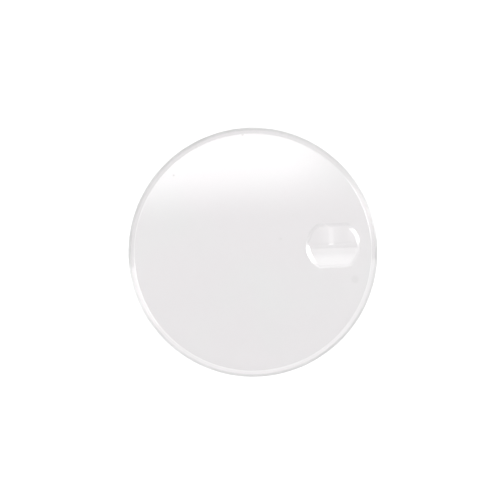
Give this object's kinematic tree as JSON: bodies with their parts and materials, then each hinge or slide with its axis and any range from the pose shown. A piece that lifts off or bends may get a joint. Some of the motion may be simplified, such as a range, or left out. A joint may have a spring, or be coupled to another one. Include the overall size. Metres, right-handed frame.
{
  "type": "watch crystal",
  "caption": "Flat round watch crystal of clear sapphire with a polished top bevel, a ground edge and a small domed date magnifier bonded on its upper face.",
  "frame": {"origin": "centre of the crystal's underside, the face that looks at the dial", "axes": "+Z out of the watch along the crystal's axis, towards the face that carries the lens; +X from the axis to the middle of the lens, three o'clock on the dial"},
  "size_m": [0.0295, 0.0294, 0.003],
  "materials": {
    "disc_sapphire": "clear and polished, with a finely ground edge and lower bevel",
    "clear_cement": "clear cured cement",
    "lens_sapphire": "clear, with a polished dome and base and a finely ground side and bevel"
  },
  "bodies": {
    "root": {"crystal_disc": "disc_sapphire", "lens_cement": "clear_cement", "date_lens": "lens_sapphire"}
  },
  "joints": []
}
